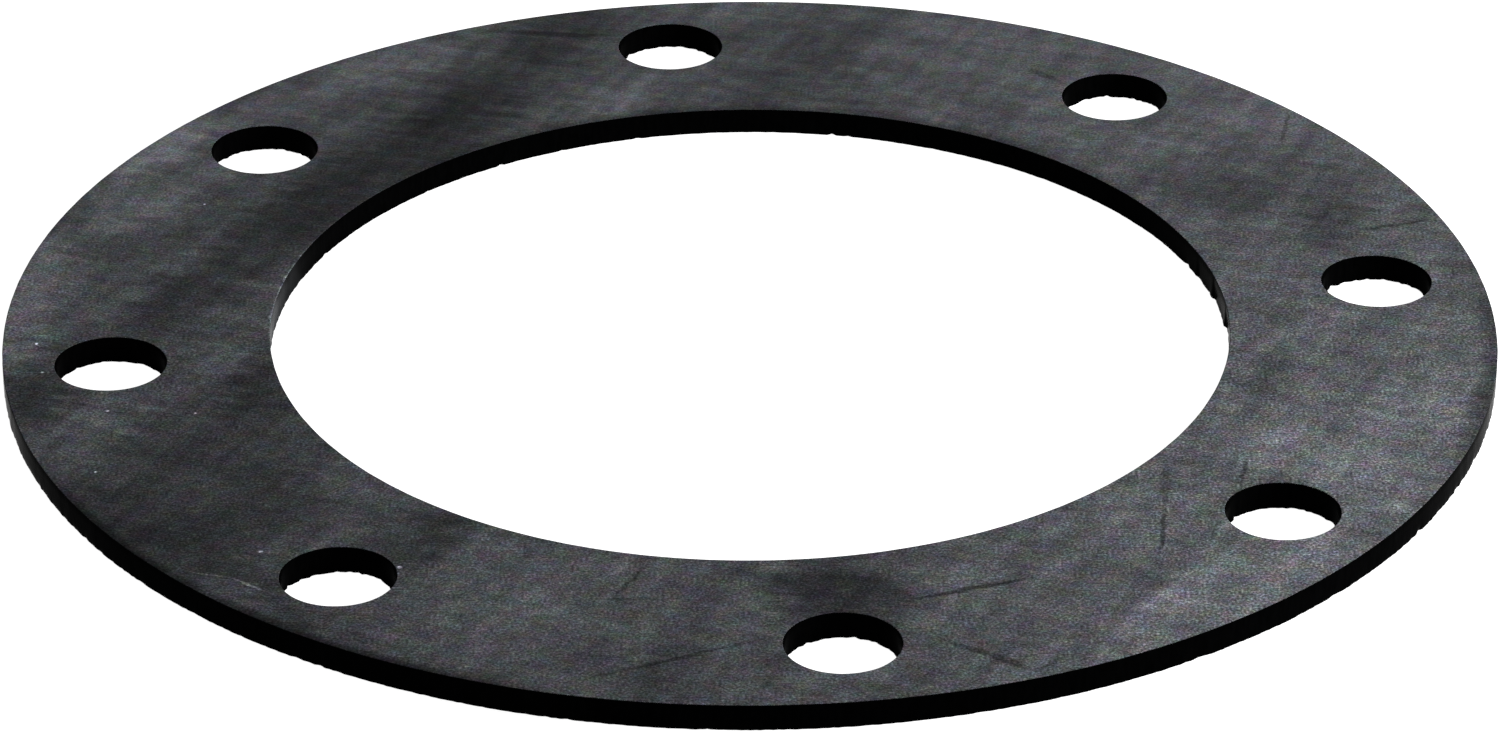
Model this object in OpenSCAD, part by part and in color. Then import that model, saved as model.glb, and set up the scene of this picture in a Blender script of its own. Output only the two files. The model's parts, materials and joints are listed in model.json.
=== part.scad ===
// Handhole gasket: a flat ring cut from rubber sheet, with a circle of bolt
// holes round an opening that a hand reaches through.
// Millimetres, +Z up. The origin is the centre of the lower face, and the
// first bolt hole lies on +X.

/* [Opening] */
// Diameter of the opening
opening_d = 114.3; // [80:0.1:200]

/* [Sealing face] */
// Width of the sealing face, from the opening to the outer edge
face_w = 31.75; // [30:0.05:45]
// Thickness of the rubber sheet
sheet_t = 3.175; // [1.5:0.025:6.5]

/* [Bolt holes] */
// Number of bolt holes, evenly spaced
bolt_count = 8; // [4:1:12]
// Diameter of the bolts that clamp the cover
bolt_d = 12.7; // [8:0.1:16]
// Room between a bolt and its hole, on the diameter
bolt_clearance = 0.5; // [0.2:0.1:2]
// Distance from the centre of a bolt hole to the outer edge
edge_distance = 12.7; // [11:0.1:15]

/* [Cut edges] */
// Radius that the press leaves on the upper edges of each cut
edge_r = 0.1; // [0.05:0.05:0.6]

/* [Hidden] */
$fn = 128;
outer_d = opening_d + 2 * face_w;
bolt_circle_d = outer_d - 2 * edge_distance;
bolt_hole_d = bolt_d + bolt_clearance;
// How far a cut runs past the sheet, so that it leaves no skin behind
cut_over = 1;

// Half section of the waste outside a rounded upper edge that faces +X, with
// the centre of the rounding at its origin
module edge_waste() {
    difference() {
        square(edge_r + cut_over);
        circle(r = edge_r);
    }
}

// Round disc of sheet, its upper edge rounded by the press
module blank() {
    difference() {
        cylinder(d = outer_d, h = sheet_t);
        translate([0, 0, sheet_t - edge_r])
            rotate_extrude()
                translate([outer_d / 2 - edge_r, 0])
                    edge_waste();
    }
}

// Waste of one round punch: the slug, and the rounding round its upper edge
module punch(d) {
    translate([0, 0, -cut_over])
        cylinder(d = d, h = sheet_t + 2 * cut_over);
    translate([0, 0, sheet_t - edge_r])
        rotate_extrude()
            translate([d / 2 + edge_r, 0])
                mirror([1, 0])
                    edge_waste();
}

// Bolt holes, each on a spoke of the bolt circle
module bolt_holes() {
    for (i = [0 : bolt_count - 1])
        rotate(i * 360 / bolt_count)
            translate([bolt_circle_d / 2, 0, 0])
                punch(bolt_hole_d);
}

// The whole gasket, one piece of black rubber
module gasket() {
    color([0.285, 0.29, 0.3])
        difference() {
            blank();
            punch(opening_d);
            bolt_holes();
        }
}

gasket();
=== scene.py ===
"""A worn black rubber handhole gasket, lying on a white studio floor."""
import json
import math
from dataclasses import dataclass

import bpy
import numpy as np
from mathutils import Matrix, Vector, geometry


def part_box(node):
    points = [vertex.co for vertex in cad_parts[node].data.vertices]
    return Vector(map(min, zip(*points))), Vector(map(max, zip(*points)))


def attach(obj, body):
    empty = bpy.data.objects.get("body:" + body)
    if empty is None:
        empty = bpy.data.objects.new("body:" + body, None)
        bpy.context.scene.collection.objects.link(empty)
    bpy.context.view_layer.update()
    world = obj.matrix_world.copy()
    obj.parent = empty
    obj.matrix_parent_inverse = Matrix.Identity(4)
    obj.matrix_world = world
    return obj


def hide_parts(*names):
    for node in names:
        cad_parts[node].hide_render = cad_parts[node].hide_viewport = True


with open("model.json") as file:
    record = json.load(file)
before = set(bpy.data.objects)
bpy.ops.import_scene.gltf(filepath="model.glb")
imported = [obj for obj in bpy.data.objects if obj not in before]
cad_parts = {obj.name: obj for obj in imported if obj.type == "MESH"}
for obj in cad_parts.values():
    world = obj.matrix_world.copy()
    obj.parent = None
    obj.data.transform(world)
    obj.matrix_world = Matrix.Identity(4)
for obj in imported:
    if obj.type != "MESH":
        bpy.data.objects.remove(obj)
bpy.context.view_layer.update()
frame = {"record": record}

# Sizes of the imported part, in metres
MM = 0.001
dims = {mount["name"]: mount["dims"] for mount in frame["record"]["mounts"]}
low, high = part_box("gasket")
OUTER_R = min(high.x - low.x, high.y - low.y) / 2
SHEET_T = high.z - low.z
OPENING_R = dims["hand_opening"]["r_mm"] * MM
EDGE_R = SHEET_T - dims["hand_opening"]["length_mm"] * MM
BOLT_CIRCLE_R = dims["bolt_holes"]["pcd_mm"] * MM / 2
HOLE_R = dims["bolt_holes"]["hole_r_mm"] * MM
HOLE_COUNT = dims["bolt_holes"]["count"]

# The viewpoint: its turn and rise round the part's centre, its distance and the point looked at.
# Places that are given as seen from there have x to the right and y away.
VIEW_TURN = math.radians(-7.662)
VIEW_RISE = math.radians(28.133)
VIEW_ROLL = math.radians(0.132)
VIEW_DISTANCE = 0.8699
VIEW_AIM = Vector((0, -0.0055, 0))
LENS_MM = 174.66
SENSOR_MM = 36
NEAR_CLIP = 0.01


def add_object(name, data):
    """A new object in the scene."""
    thing = bpy.data.objects.new(name, data)
    bpy.context.scene.collection.objects.link(thing)
    return thing


def as_seen(x, y, z):
    """A place given as seen from the viewpoint, in the part's frame."""
    return Matrix.Rotation(VIEW_TURN, 3, "Z") @ Vector((x, y, z))


def make_camera():
    """The camera at the photograph's viewpoint."""
    data = bpy.data.cameras.new("camera")
    data.sensor_width = SENSOR_MM
    data.lens = LENS_MM
    data.clip_start = NEAR_CLIP
    camera = add_object("camera", data)
    back = Vector((0, -math.cos(VIEW_RISE), math.sin(VIEW_RISE)))
    place = as_seen(*(back * VIEW_DISTANCE))
    ahead = as_seen(*VIEW_AIM) - place
    turn = ahead.to_track_quat("-Z", "Y").to_matrix().to_4x4()
    roll = Matrix.Rotation(-VIEW_ROLL, 4, "Z")
    camera.matrix_world = Matrix.Translation(place) @ turn @ roll
    bpy.context.scene.camera = camera


# The cut edges of the sheet

# Rows of points down a cut edge: steps in its rounding, then heights on the wall below
ROUND_STEPS = 3
WALL_HEIGHTS = [2.2 * MM, 1.3 * MM, 0.75 * MM, 0.45 * MM, 0.2 * MM, 0]

# The wall stands back by this much on average, and its waves are about this many points long
WOBBLE = 0.015 * MM
WOBBLE_POINTS = 6

# The foot of the wall is torn: how high up, and how fast that fades
TORN_HEIGHT = 0.9 * MM
TORN_FADE = 1.5

# The torn edge: shares of its burr that are even and that come and go, and lengths of the waves
# and the teeth in it
BURR_EVEN = 0.6
BURR_UNEVEN = 0.15
BURR_WAVE = 2.6 * MM
LARGE_TEETH = 1.1 * MM
SMALL_TEETH = 0.5 * MM

# Nicks in the torn edge: how far each runs to both sides, how far it moves the edge out of the
# rubber and up, in shares of the cut's own nick, and the furthest that the edge goes back
NICK_RUN = (0.3 * MM, 0.9 * MM)
NICK_OUT = (-1, 0.6)
NICK_UP = (0, 0.8)
DEEPEST_NICK = 0.4 * MM

# Steps in the hand-cut wall of the opening: angle as seen, in degrees, then the length of the
# stretch that leads up to the step and how far the lower edge has fallen back there. At its end
# the edge comes back to the circle over the length STEP_END.
STEPS = (
    (4.6, 7 * MM, 0.30 * MM),
    (12.0, 7 * MM, 0.32 * MM),
    (18.0, 5 * MM, 0.14 * MM),
    (192.0, 38 * MM, 0.16 * MM),
)
STEP_END = 0.5 * MM


@dataclass
class Cut:
    """One round cut through the sheet."""

    centre: tuple
    radius: float
    # 1 where the rubber lies outside the circle, and -1 where it lies inside
    side: int
    # Distance between points along the cut
    spacing: float
    # The torn edge: how far it stands out, the size of its teeth, the size of its nicks and the
    # length of edge to each nick, and the furthest that all of them may stand out
    burr: float
    teeth: float
    nick: float
    nick_spacing: float
    reach: float
    # Steps in the wall, each as in STEPS
    steps: tuple = ()


def make_cuts():
    """Every cut of the sheet: its outline, the opening and the bolt holes."""
    outline = Cut(
        (0, 0), OUTER_R, side=-1, spacing=0.25 * MM, burr=-0.08 * MM, teeth=0.05 * MM,
        nick=0.12 * MM, nick_spacing=6 * MM, reach=0,
    )
    opening = Cut(
        (0, 0), OPENING_R, side=1, spacing=0.3 * MM, burr=0.1 * MM, teeth=0.04 * MM,
        nick=0.25 * MM, nick_spacing=12 * MM, reach=0.4 * MM, steps=STEPS,
    )
    cuts = [outline, opening]
    for i in range(HOLE_COUNT):
        angle = 2 * math.pi * i / HOLE_COUNT
        centre = (BOLT_CIRCLE_R * math.cos(angle), BOLT_CIRCLE_R * math.sin(angle))
        cuts.append(Cut(
            centre, HOLE_R, side=1, spacing=0.16 * MM, burr=0.3 * MM, teeth=0.14 * MM,
            nick=0.25 * MM, nick_spacing=6 * MM, reach=0.5 * MM,
        ))
    return cuts


def smooth_noise(count, waves, random):
    """Noise round a closed loop of count points, with about that many waves, from -1 to 1."""
    knots = random.uniform(-1, 1, max(4, round(waves)))
    place = np.arange(count) * len(knots) / count
    start = place.astype(int)
    share = place - start
    share = share * share * (3 - 2 * share)
    return knots[start] * (1 - share) + knots[(start + 1) % len(knots)] * share


def lower_edge(cut, count, random):
    """How far the torn lower edge stands out of the rubber, and above the floor, at each point."""
    length = 2 * math.pi * cut.radius
    out = cut.burr * (BURR_EVEN + BURR_UNEVEN * smooth_noise(count, length / BURR_WAVE, random))
    out += cut.teeth / 2 * smooth_noise(count, length / LARGE_TEETH, random)
    out += cut.teeth * smooth_noise(count, length / SMALL_TEETH, random)
    chips = np.zeros(count)
    place = np.arange(count) * length / count
    for _ in range(round(length / cut.nick_spacing)):
        apart = np.abs(place - random.uniform(0, length))
        apart = np.minimum(apart, length - apart)
        shape = np.clip(1 - apart / random.uniform(*NICK_RUN), 0, 1)
        out += cut.nick * random.uniform(*NICK_OUT) * shape
        chips += cut.nick * random.uniform(*NICK_UP) * shape
    return out.clip(-DEEPEST_NICK, cut.reach), chips


def stepped_edge(cut, angle):
    """How far the lower edge has fallen back along the stretch that leads up to each step."""
    back = np.zeros(len(angle))
    for turn, length, depth in cut.steps:
        ahead = (math.radians(turn) + VIEW_TURN - angle) % (2 * math.pi) * cut.radius
        share = np.minimum((length - ahead) / (length - STEP_END), ahead / STEP_END)
        back += depth * share.clip(0, 1)
    return back


def cut_edge(cut, seed):
    """Rows of points down one cut edge, from the upper face to the lower one."""
    random = np.random.default_rng(seed)
    count = round(2 * math.pi * cut.radius / cut.spacing)
    angle = np.arange(count) * 2 * math.pi / count
    out, chips = lower_edge(cut, count, random)
    wobble = WOBBLE * (1 + smooth_noise(count, count / WOBBLE_POINTS, random))
    back = stepped_edge(cut, angle)
    turns = np.linspace(0, math.pi / 2, ROUND_STEPS + 1)
    profile = [(EDGE_R * (1 - math.sin(t)), SHEET_T - EDGE_R * (1 - math.cos(t))) for t in turns]
    profile += [(0, height) for height in WALL_HEIGHTS]
    rows = []
    for inset, height in profile:
        torn = max(0, 1 - height / TORN_HEIGHT) ** TORN_FADE
        stepped = (1 - height / SHEET_T) * back
        across = cut.radius + cut.side * (inset + wobble + stepped - torn * out)
        x = cut.centre[0] + across * np.cos(angle)
        y = cut.centre[1] + across * np.sin(angle)
        rows.append(np.column_stack([x, y, height + torn * chips]))
    return rows


# The sheet

# Distance between points inside a face, and the bands of points along each cut: how far from the
# rounding, and the distance between points in the band
FACE_STEP = 2.2 * MM
RIM_BANDS = [(0.5 * MM, 0.8 * MM), (1.3 * MM, 1.4 * MM)]

# Blender's triangulation of a face: keep what is inside the outline, and take points that are this
# close for one
INSIDE_OUTLINE = 1
CLOSEST_MM = 1e-6

# Materials of the sheet, and how many strips of the rounding, from the top, have the face's own
FACE_SLOT = 0
WALL_SLOT = 1
FACE_STRIPS = 2


def within(points, loop):
    """Whether each point lies inside a closed loop, by counting crossings to its right."""
    start = loop
    end = np.roll(loop, -1, axis=0)
    y = points[:, None, 1]
    crosses = (start[:, 1] > y) != (end[:, 1] > y)
    rise = np.where(end[:, 1] == start[:, 1], 1, end[:, 1] - start[:, 1])
    reach = start[:, 0] + (y - start[:, 1]) * (end[:, 0] - start[:, 0]) / rise
    return (crosses & (points[:, None, 0] < reach)).sum(1) % 2 == 1


def face_points(cuts):
    """Points inside the face: bands along each cut edge, and a triangular grid between them."""
    points = []
    for cut in cuts:
        for inset, step in RIM_BANDS:
            band = cut.radius + cut.side * (EDGE_R + inset)
            count = round(2 * math.pi * band / step)
            angle = np.arange(count) * 2 * math.pi / count
            points.append(np.column_stack([np.cos(angle), np.sin(angle)]) * band + cut.centre)
    rows = np.arange(-OUTER_R, OUTER_R, FACE_STEP * math.sqrt(0.75))
    columns = np.arange(-OUTER_R, OUTER_R, FACE_STEP)
    grid = np.array([(x + FACE_STEP / 2 * (i % 2), y) for i, y in enumerate(rows) for x in columns])
    keep = np.ones(len(grid), bool)
    margin = EDGE_R + RIM_BANDS[-1][0] + FACE_STEP / 2
    for cut in cuts:
        keep &= cut.side * (np.hypot(*(grid - cut.centre).T) - cut.radius) > margin
    return np.concatenate(points + [grid[keep]])


def fill_face(loops, inner):
    """Triangles of a flat face between closed loops, the first of them its outline."""
    sizes = [len(loop) for loop in loops]
    starts = np.cumsum([0] + sizes)
    points = np.concatenate([loop[:, :2] for loop in loops] + [inner])
    edges = [(s + i, s + (i + 1) % n) for s, n in zip(starts, sizes) for i in range(n)]
    corners = [Vector(p / MM) for p in points]
    made = geometry.delaunay_2d_cdt(corners, edges, [], INSIDE_OUTLINE, CLOSEST_MM)
    triangles = made[2]
    origin = [sources[0] for sources in made[3]]
    faces = np.array([[origin[i] for i in triangle] for triangle in triangles])
    owner = np.searchsorted(starts[1:], faces, side="right")
    filled = np.ones(len(faces), bool)
    for k, loop in enumerate(loops[1:], 1):
        own = np.nonzero((owner == k).all(1))[0]
        filled[own] = ~within(points[faces[own]].mean(1), loop)
    return faces[filled]


def make_sheet():
    """The gasket's own mesh: both faces, and every cut edge with its rounding and torn lower rim."""
    cuts = make_cuts()
    edges = [cut_edge(cut, seed) for seed, cut in enumerate(cuts)]
    inner = face_points(cuts)

    points = []
    faces = []
    slots = []
    first = {}
    total = 0
    for k, edge in enumerate(edges):
        count = len(edge[0])
        for row, loop in enumerate(edge):
            first[k, row] = total
            points.append(loop)
            total += count
        for row in range(len(edge) - 1):
            upper = first[k, row]
            lower = first[k, row + 1]
            for i in range(count):
                j = (i + 1) % count
                quad = (upper + i, upper + j, lower + j, lower + i)
                faces.append(quad if cuts[k].side > 0 else quad[::-1])
                slots.append(FACE_SLOT if row < FACE_STRIPS else WALL_SLOT)
    last = len(edges[0]) - 1
    for row, height, order in ((0, SHEET_T, 1), (last, 0, -1)):
        loops = [edge[row] for edge in edges]
        ids = [first[k, row] + np.arange(len(loop)) for k, loop in enumerate(loops)]
        ids = np.concatenate(ids + [total + np.arange(len(inner))])
        triangles = fill_face(loops, inner)
        faces += [tuple(ids[t][::order].tolist()) for t in triangles]
        slots += [FACE_SLOT] * len(triangles)
        points.append(np.column_stack([inner, np.full(len(inner), height)]))
        total += len(inner)

    mesh = bpy.data.meshes.new("gasket_sheet")
    mesh.from_pydata(np.concatenate(points).tolist(), [], faces)
    mesh.polygons.foreach_set("material_index", slots)
    mesh.polygons.foreach_set("use_smooth", [len(face) == 4 for face in faces])
    mesh.validate()
    return add_object("gasket_sheet", mesh)


# Materials

# Noise of the face and of the cut walls: size, detail and roughness. Sizes are in millimetres,
# apart from the brush and the streaks, where 1 is half a stroke, and the patches, in metres.
GRAIN = (0.32, 1.0, 0.6)
CLOUDS = (2.2, 3.0, 0.9)
MOTTLE = (2.6, 3.0, 0.85)
BRUSH = (1.0, 3.0, 0.7)
STREAK = (1.0, 2.0, 0.6)
WALL_GRAIN = (0.6, 3.0, 0.6)
WALL_PATCHES = (3.0 * MM, 2.0, 0.6)

# Strength of the face's clouds and grain in stops. The grain gains some towards the right, between
# two places as seen, and both lose a share towards the back.
CLOUD_STOPS = 2.25
GRAIN_STOPS = 4.8
GRAIN_GAIN = 1.3
GAIN_FROM_TO = (0.0, 80.0)
FADED_SHARE = 0.46
FADE_FROM_TO = (-20.0, 75.0)

# Colour of the face, how far its red, green and blue spread, and its gloss and bumps
FACE_COLOUR = (0.0449, 0.0470, 0.0511)
COLOUR_SPREAD = 1.1
FACE_ROUGH = 0.7
GRAIN_ROUGH = 0.2
FACE_SPECULAR = 0.03
FACE_BUMP = 0.5
BUMP_DEPTH = 0.05 * MM

# The rounded upper edges are darker than the upper face, and so is the underside: how upright a
# normal is where that starts and where it is full, and by how many stops
EDGE_LEAN = (0.99, 0.5)
EDGE_STOPS = -2.0

# The cut walls: how pale they are at full grain, their tint, how the grain is drawn out down them,
# the noise at which patches of painted sheen start and are full, and their gloss and bumps
WALL_PALE = 0.0008
WALL_TINT = (0.96, 1.0, 1.08)
WALL_DRAWN = (1 / MM, 1 / MM, 0.3 / MM)
PATCH_FROM_TO = (0.1, 0.7)
WALL_ROUGH = 0.2
WALL_IOR = 1.014
WALL_BUMP = 0.3

# Stroke of the brush that makes the edges of marks stray: angle, length and width. Then the spread
# of that for each kind of mark, in millimetres.
BRUSH_STROKE = (-14, 20, 4)
SMUDGE_AND_SHADE_STRAY = (14.0, 10.0, 0.0)
WIPED_STRAY = (0.8, 0.8, 0.0)
SCRATCH_STRAY = (1.6, 1.6, 0.0)

# How much of a mark's radius is at full strength
SMUDGE_AND_SHADE_CORE = 0.2
WIPED_CORE = 0.92
SCRATCH_CORE = 0.4
RIM_CORE = 0.5
SPECK_CORE = 0.3
WALL_SHEEN_CORE = 0.2

# Streaks left by wiping, as seen: angle, length, width and strength in stops
STREAKS = [
    (-14, 24, 2.8, 0.8),
    (24, 18, 2.4, 0.6),
    (68, 20, 4.0, 1.1),
    (-30, 40, 8.0, 1.2),
    (60, 50, 10.0, 1.6),
]

# Marks on the upper face, as seen, in millimetres and degrees: x, y, length, width, angle,
# and strength in stops, where below 0 is darker. They are smudges of grime and dust, and at the
# left they are also painted shade that carries on the fall of light away from the lamp at the right.
SMUDGES_AND_SHADE = [
    # Dark band across the upper left: grime, with painted shade where the light falls off
    (-45, 43, 124, 21, 60, -0.90),
    (-36, 54, 38, 18, 62, -0.70),
    (-54, 31, 42, 16, 58, -0.65),
    (-24, 80, 32, 18, 60, -0.65),
    (-51, 45, 14, 11, 60, -0.30),
    (-70, 5, 34, 13, 63, -0.75),
    # Grime at the lower left, with painted shade where the light falls off
    (-62, -36, 62, 36, 60, -0.65),
    (-54, -47, 22, 16, 0, -0.65),
    (-64, -55, 54, 19, -50, -1.05),
    (-76, -41, 32, 12, -62, -0.25),
    (-47, -73, 36, 11, -34, -0.70),
    (-34, -82, 18, 8, -25, -0.40),
    (-38, -52, 26, 16, 50, -0.95),
    (-57, -16, 26, 12, 75, -0.90),
    (-84, -18, 22, 13, -78, -0.95),
    (-70, -28, 18, 12, 65, -0.35),
    (-56, -38, 18, 11, 0, -0.35),
    (-69, -4, 16, 10, 60, -0.40),
    # Dusty places along the left
    (-74, 47, 30, 18, 55, 1.25),
    (-76, 31, 26, 19, 60, 0.70),
    (-86, 9, 44, 14, 85, 1.00),
    (-87, -6, 18, 10, 90, 0.70),
    (-47, 70, 32, 18, 40, 0.95),
    (-60, 58, 20, 12, 40, 0.45),
    (-66, 41, 14, 10, 60, 0.65),
    (-50, 31, 14, 10, 60, 0.35),
    (-17, 61, 26, 15, 60, 0.50),
    (-75, -23, 26, 12, 60, 0.30),
    (-58, 10, 14, 9, 60, 0.45),
    (-69, -46, 18, 11, 10, 0.45),
    (-58, -65, 18, 9, -40, 0.95),
    # Back
    (6, 69, 46, 26, 75, -0.55),
    (17, 79, 16, 11, 0, -0.40),
    (0, 60, 16, 9, 0, -0.35),
    (16, 64, 14, 9, 75, 0.45),
    (26, 72, 38, 22, -40, 0.40),
    (-1, 87, 16, 9, 0, 0.50),
    # Right
    (58, 34, 28, 17, -20, -0.60),
    (72, 25, 20, 14, 60, -0.95),
    (71, 35, 30, 20, 55, -0.40),
    (82, 29, 14, 9, 70, -0.40),
    (38, 46, 14, 9, -40, -0.30),
    (63, 43, 16, 11, 0, -0.35),
    (61, 20, 22, 14, 60, -0.20),
    (63, 57, 20, 14, 60, 0.40),
    (54, 48, 16, 12, 20, 0.30),
    (61, -14, 18, 9, 85, -0.40),
    (56, -20, 16, 8, 75, 0.30),
    (53, -51, 14, 10, 45, 0.30),
    (66, -34, 46, 20, -35, 0.60),
    (78, -24, 36, 18, 65, 0.55),
    (42, -49, 36, 18, 45, 0.45),
    (38, -51, 14, 10, 60, -0.35),
    (72, -51, 22, 12, 50, -0.45),
    (86, 13, 40, 9, 82, -0.30),
    (42, -69, 24, 15, 10, 0.38),
    # Front
    (10, -64, 24, 18, -30, -1.65),
    (-9, -82, 30, 16, 10, -0.50),
    (-4, -66, 30, 14, 60, -0.30),
    (17, -57, 14, 9, -20, -0.40),
    (10, -86, 18, 7, 5, -0.40),
    (-28, -64, 32, 20, 60, 0.28),
]
WIPED = [
    (56.5, -74, 72, 30, 56, 0.55),
]
SCRATCHES = [
    (24.5, -63.8, 18, 1.1, 20, -1.6),
    (26.0, -78.0, 16, 1.6, -34, -1.1),
    (33.0, -80.0, 6, 0.8, 45, -0.6),
    (46.6, -51.0, 14, 0.8, 84, -1.3),
    (47.6, -39.0, 16, 1.6, 87, -0.6),
    (56.7, -36.5, 8, 0.8, 83, -1.0),
    (52.7, -50.5, 6, 0.7, 72, -0.7),
    (79.0, 24.8, 12, 1.0, 18, -1.0),
    (67.2, 51.5, 12, 0.7, 82, -0.8),
    (-13.5, -62.0, 12, 0.8, 63, -0.9),
    (-12.7, -65.9, 12, 0.7, 0, -0.6),
    (-8.5, -79.0, 27, 0.9, 24, -0.9),
    (-26.0, 79.3, 25, 1.8, -5, -0.7),
    (37.5, 67.0, 7, 1.6, -38, -0.8),
    (-60.5, -60.2, 7, 0.5, -17, 1.2),
    (-56.0, -62.6, 6, 0.6, -38, 2.0),
    (45.4, -65.6, 10, 0.9, 56, 0.30),
    (45.6, -62.2, 24, 2.4, 56, -0.20),
]

# Stretches of a rim that are drawn darker, and one drawn paler as a painted highlight: the distances
# from the part's centre where they start and are full, then the ellipse that holds them and the
# strength in stops
RIMS = [
    (86.0, 88.9, 88, -13, 56, 30, 80, -1.20),
    (87.2, 88.9, -56, -68, 100, 46, -42, -1.80),
    (59.4, 57.1, 5, 50, 136, 76, 0, -0.80),
    # Painted highlight where the rounded inner edge at the left faces the lamp at the right
    (57.5, 57.2, -56, 8, 30, 14, 80, 1.40),
]

# Bright specks, as seen: x, y and size, and the strength of all of them in stops
SPECKS = [
    (-67.1, 31.2, 0.5),
    (-75.0, -21.8, 0.6),
    (-75.2, -36.5, 0.6),
    (-83.4, -12.3, 0.6),
    (-84.7, -5.2, 0.6),
    (-64.7, -22.4, 0.5),
    (-55.2, -55.0, 0.8),
    (-39.4, -58.6, 0.9),
]
SPECK_STOPS = 3.0

# Painted sheen on the inner cut wall at the left, where it faces the lamp, as seen: x, y, length,
# width, angle and how pale
WALL_PAINTED_SHEEN = [
    (-57, -1, 50, 16, 90, 0.012),
    (-57, 2, 20, 8, 90, 0.010),
]


class Shade:
    """Short calls that add nodes to one material and give back their outputs."""

    def __init__(self, name):
        self.material = bpy.data.materials.new(name)
        self.material.use_nodes = True
        self.tree = self.material.node_tree
        self.tree.nodes.clear()

    def add(self, kind, inputs, **settings):
        """A new node, its inputs linked to outputs of others or set to values."""
        node = self.tree.nodes.new("ShaderNode" + kind)
        for key, value in settings.items():
            setattr(node, key, value)
        for key, value in inputs.items():
            if isinstance(value, bpy.types.NodeSocket):
                self.tree.links.new(value, node.inputs[key])
            else:
                node.inputs[key].default_value = value
        return node

    def math(self, operation, *values):
        return self.add("Math", dict(enumerate(values)), operation=operation).outputs[0]

    def vector(self, operation, *values):
        node = self.add("VectorMath", dict(enumerate(values)), operation=operation)
        return node.outputs["Value" if operation == "LENGTH" else "Vector"]

    def scaled(self, vector, share):
        return self.add("VectorMath", {0: vector, "Scale": share}, operation="SCALE").outputs[0]

    def plus(self, total, share, value):
        return self.math("MULTIPLY_ADD", value, share, total)

    def noise(self, where, size, detail, rough, output="Fac"):
        inputs = {"Vector": where, "Scale": 1 / size, "Detail": detail, "Roughness": rough}
        return self.add("TexNoise", inputs).outputs[output]

    def centred(self, noise):
        """Noise about 0, from noise about a half."""
        return self.math("SUBTRACT", noise, 0.5)

    def ramp(self, value, start, end):
        """A smooth step from 0 at start to 1 at end."""
        inputs = {"Value": value, "From Min": start, "From Max": end}
        return self.add("MapRange", inputs, interpolation_type="SMOOTHSTEP").outputs[0]

    def moved(self, where, x, y, angle, length, width):
        """Coordinates in which an ellipse at x, y has a radius of 1."""
        place = {"Vector": where, "Location": (x, y, 0), "Rotation": (0, 0, math.radians(angle))}
        place["Scale"] = (length / 2, width / 2, 1)
        return self.add("Mapping", place, vector_type="TEXTURE").outputs[0]

    def spot(self, where, x, y, length, width, angle, core):
        """1 in the core of an ellipse, 0 outside it, and a smooth step between."""
        ellipse = self.moved(where, x, y, angle, length, width)
        inside = self.add("TexGradient", {"Vector": ellipse}, gradient_type="SPHERICAL")
        return self.ramp(inside.outputs["Fac"], 0.0, 1.0 - core)

    def seen_mm(self):
        """Flat coordinates as seen from the viewpoint, in millimetres."""
        place = self.add("TexCoord", {}).outputs["Object"]
        turn = {"Vector": place, "Rotation": (0, 0, -VIEW_TURN), "Scale": (1 / MM, 1 / MM, 0)}
        return self.add("Mapping", turn).outputs[0]

    def bump(self, height, strength):
        inputs = {"Height": height, "Strength": strength, "Distance": BUMP_DEPTH}
        return self.add("Bump", inputs).outputs[0]

    def finish(self, inputs):
        """The material, with a shader that has these inputs."""
        shader = self.add("BsdfPrincipled", inputs)
        output = self.add("OutputMaterial", {"Surface": shader.outputs[0]})
        output.is_active_output = True
        return self.material


def face_texture(s, place, grain):
    """Clouds, grain and streaks of the bare face, in stops."""
    clouds = s.noise(place, *CLOUDS)
    tone = s.math("MULTIPLY", s.centred(clouds), CLOUD_STOPS)
    axes = s.add("SeparateXYZ", {0: place}).outputs
    gained = s.math("MULTIPLY_ADD", s.ramp(axes["X"], *GAIN_FROM_TO), GRAIN_GAIN, GRAIN_STOPS)
    tone = s.plus(tone, gained, s.centred(grain))
    kept = s.math("MULTIPLY_ADD", s.ramp(axes["Y"], *FADE_FROM_TO), -FADED_SHARE, 1.0)
    tone = s.math("MULTIPLY", tone, kept)
    for angle, length, width, stops in STREAKS:
        streak = s.noise(s.moved(place, 0, 0, angle, length, width), *STREAK)
        tone = s.plus(tone, stops, s.centred(streak))
    return tone


def add_marks(s, place, tone):
    """The tone of the face with its smudges and painted shade, wiped place, scratches, rims with a
    painted highlight, and specks.
    """
    brushed = s.noise(s.moved(place, 0, 0, *BRUSH_STROKE), *BRUSH, "Color")
    drift = s.vector("SUBTRACT", brushed, (0.5, 0.5, 0.5))
    loose = s.vector("MULTIPLY_ADD", drift, SMUDGE_AND_SHADE_STRAY, place)
    close = s.vector("MULTIPLY_ADD", drift, WIPED_STRAY, place)
    stray = s.vector("MULTIPLY_ADD", drift, SCRATCH_STRAY, place)
    kinds = [
        (SMUDGES_AND_SHADE, loose, SMUDGE_AND_SHADE_CORE),
        (WIPED, close, WIPED_CORE),
        (SCRATCHES, stray, SCRATCH_CORE),
    ]
    # At the left the smudges hold painted shade as well as grime
    for marks, where, core in kinds:
        for x, y, length, width, angle, stops in marks:
            tone = s.plus(tone, stops, s.spot(where, x, y, length, width, angle, core))
    radius = s.vector("LENGTH", stray)
    # The last rim stretch is a painted highlight on the inner edge at the left
    for start, end, x, y, length, width, angle, stops in RIMS:
        near_rim = s.ramp(radius, start, end)
        stretch = s.spot(place, x, y, length, width, angle, RIM_CORE)
        tone = s.plus(tone, stops, s.math("MULTIPLY", near_rim, stretch))
    for x, y, size in SPECKS:
        tone = s.plus(tone, SPECK_STOPS, s.spot(place, x, y, size, size, 0, SPECK_CORE))
    return tone


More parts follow.
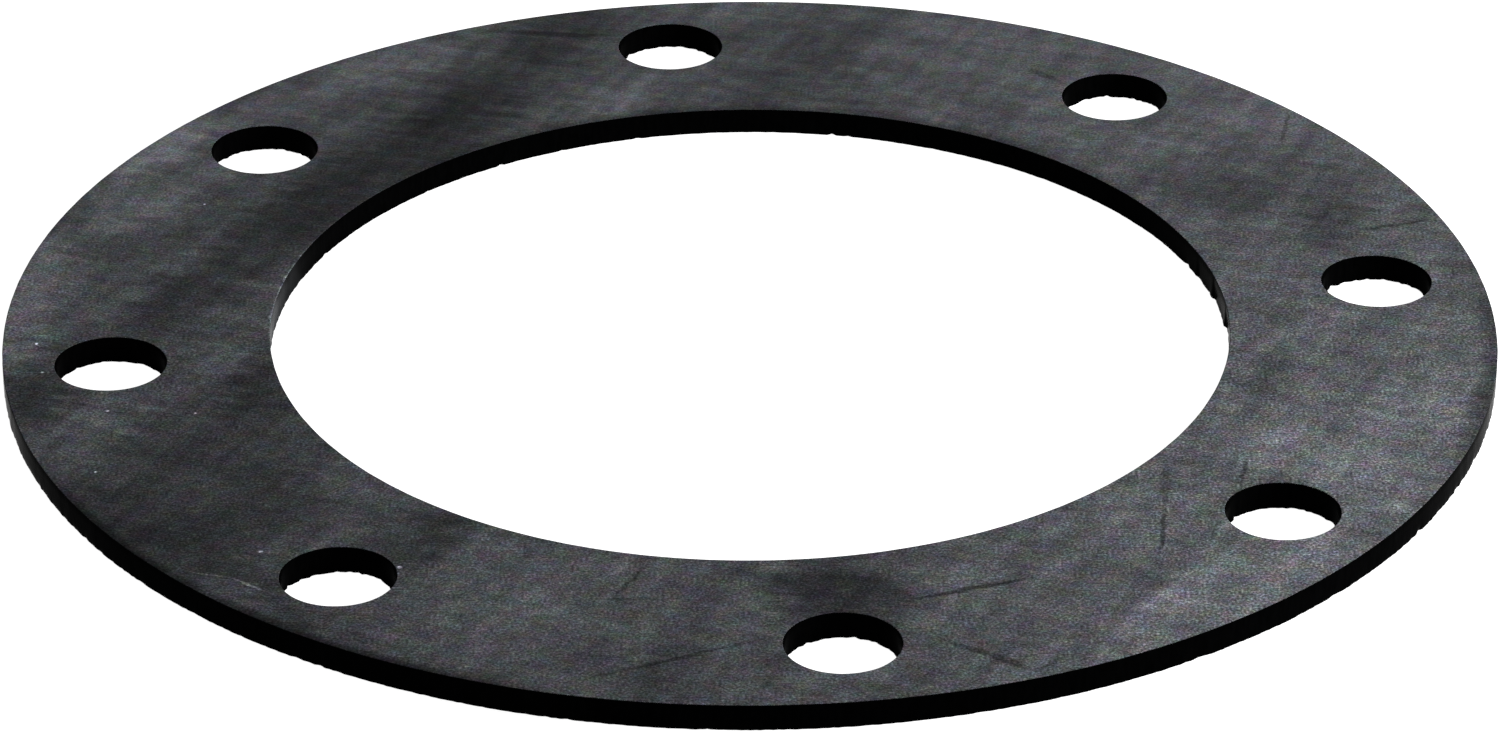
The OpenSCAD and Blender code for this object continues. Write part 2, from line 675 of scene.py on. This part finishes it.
def face_rubber():
    """Calendered rubber: cloudy, grainy, smudged, scratched and dusty, with painted shade at the
    left and a painted highlight on the inner edge at the left.
    """
    s = Shade("rubber_face")
    place = s.seen_mm()
    grain = s.noise(place, *GRAIN)
    tone = add_marks(s, place, face_texture(s, place, grain))
    normal = s.add("NewGeometry", {}).outputs["Normal"]
    upright = s.add("SeparateXYZ", {0: normal}).outputs["Z"]
    tone = s.plus(tone, EDGE_STOPS, s.ramp(upright, *EDGE_LEAN))

    # Each stop of tone doubles the colour
    shade = s.math("POWER", 2.0, tone)
    mottle = s.noise(place, *MOTTLE, "Color")
    spread = (COLOUR_SPREAD,) * 3
    least = (1 - COLOUR_SPREAD / 2,) * 3
    tint = s.vector("MULTIPLY_ADD", mottle, spread, least)
    tint = s.vector("MULTIPLY", tint, FACE_COLOUR)
    return s.finish({
        "Base Color": s.scaled(tint, shade),
        "Roughness": s.math("MULTIPLY_ADD", grain, GRAIN_ROUGH, FACE_ROUGH),
        "Normal": s.bump(grain, FACE_BUMP),
        "Specular IOR Level": FACE_SPECULAR,
    })


def wall_rubber():
    """Freshly cut rubber: deep black, with faint marks of the cut and a painted sheen where the
    inner wall at the left faces the lamp.
    """
    s = Shade("rubber_cut")
    place = s.add("TexCoord", {}).outputs["Object"]
    grain = s.noise(s.vector("MULTIPLY", place, WALL_DRAWN), *WALL_GRAIN)
    patches = s.ramp(s.noise(place, *WALL_PATCHES), *PATCH_FROM_TO)
    seen = s.seen_mm()
    pale = s.math("MULTIPLY", grain, WALL_PALE)
    # Painted sheen where the inner wall at the left faces the lamp at the right
    for x, y, length, width, angle, share in WALL_PAINTED_SHEEN:
        stretch = s.spot(seen, x, y, length, width, angle, WALL_SHEEN_CORE)
        pale = s.plus(pale, share, s.math("MULTIPLY", patches, stretch))
    return s.finish({
        "Base Color": s.scaled(WALL_TINT, pale),
        "Roughness": WALL_ROUGH,
        "Normal": s.bump(grain, WALL_BUMP),
        "IOR": WALL_IOR,
    })


# The studio

FLOOR_SIZE = 6.0
FLOOR_DROP = 0.02 * MM
FLOOR_COLOUR = (0.35, 0.35, 0.35, 1)
FLOOR_GLOW = 0.95
WHITE = (1, 1, 1, 1)
WORLD_LIGHT = 0.2


def make_floor():
    """A plain white floor with a soft glow of its own, as a light table has."""
    material = Shade("floor").finish({
        "Base Color": FLOOR_COLOUR,
        "Roughness": 1.0,
        "Specular IOR Level": 0.0,
        "Emission Color": WHITE,
        "Emission Strength": FLOOR_GLOW,
    })
    half = FLOOR_SIZE / 2
    corners = [(-half, -half, 0), (half, -half, 0), (half, half, 0), (-half, half, 0)]
    mesh = bpy.data.meshes.new("floor")
    mesh.from_pydata(corners, [], [(0, 1, 2, 3)])
    mesh.materials.append(material)
    floor = add_object("floor", mesh)
    floor.location.z = -FLOOR_DROP


def make_light(name, place, size, power):
    """A soft box at a place given as seen, aimed at the part."""
    data = bpy.data.lights.new(name, "AREA")
    data.shape = "RECTANGLE"
    data.size, data.size_y = size
    data.energy = power
    light = add_object(name, data)
    light.location = as_seen(*place)
    light.visible_camera = False
    light.rotation_mode = "QUATERNION"
    light.rotation_quaternion = (-light.location).to_track_quat("-Z", "Y")


def make_studio():
    """The floor, a low soft box at the right, a large one overhead and an even white world."""
    make_floor()
    make_light("key", place=(0.38, -0.04, 0.17), size=(0.25, 0.16), power=4.7)
    make_light("top", place=(0.0, 0.3, 1.1), size=(1.2, 1.0), power=3.6)
    world = bpy.data.worlds.new("studio")
    world.use_nodes = True
    background = world.node_tree.nodes["Background"].inputs
    background["Color"].default_value = WHITE
    background["Strength"].default_value = WORLD_LIGHT
    bpy.context.scene.world = world
    bpy.context.scene.view_settings.view_transform = "Standard"


make_camera()
make_studio()
sheet = make_sheet()
sheet.data.materials.append(face_rubber())
sheet.data.materials.append(wall_rubber())
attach(sheet, "root")
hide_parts("gasket")
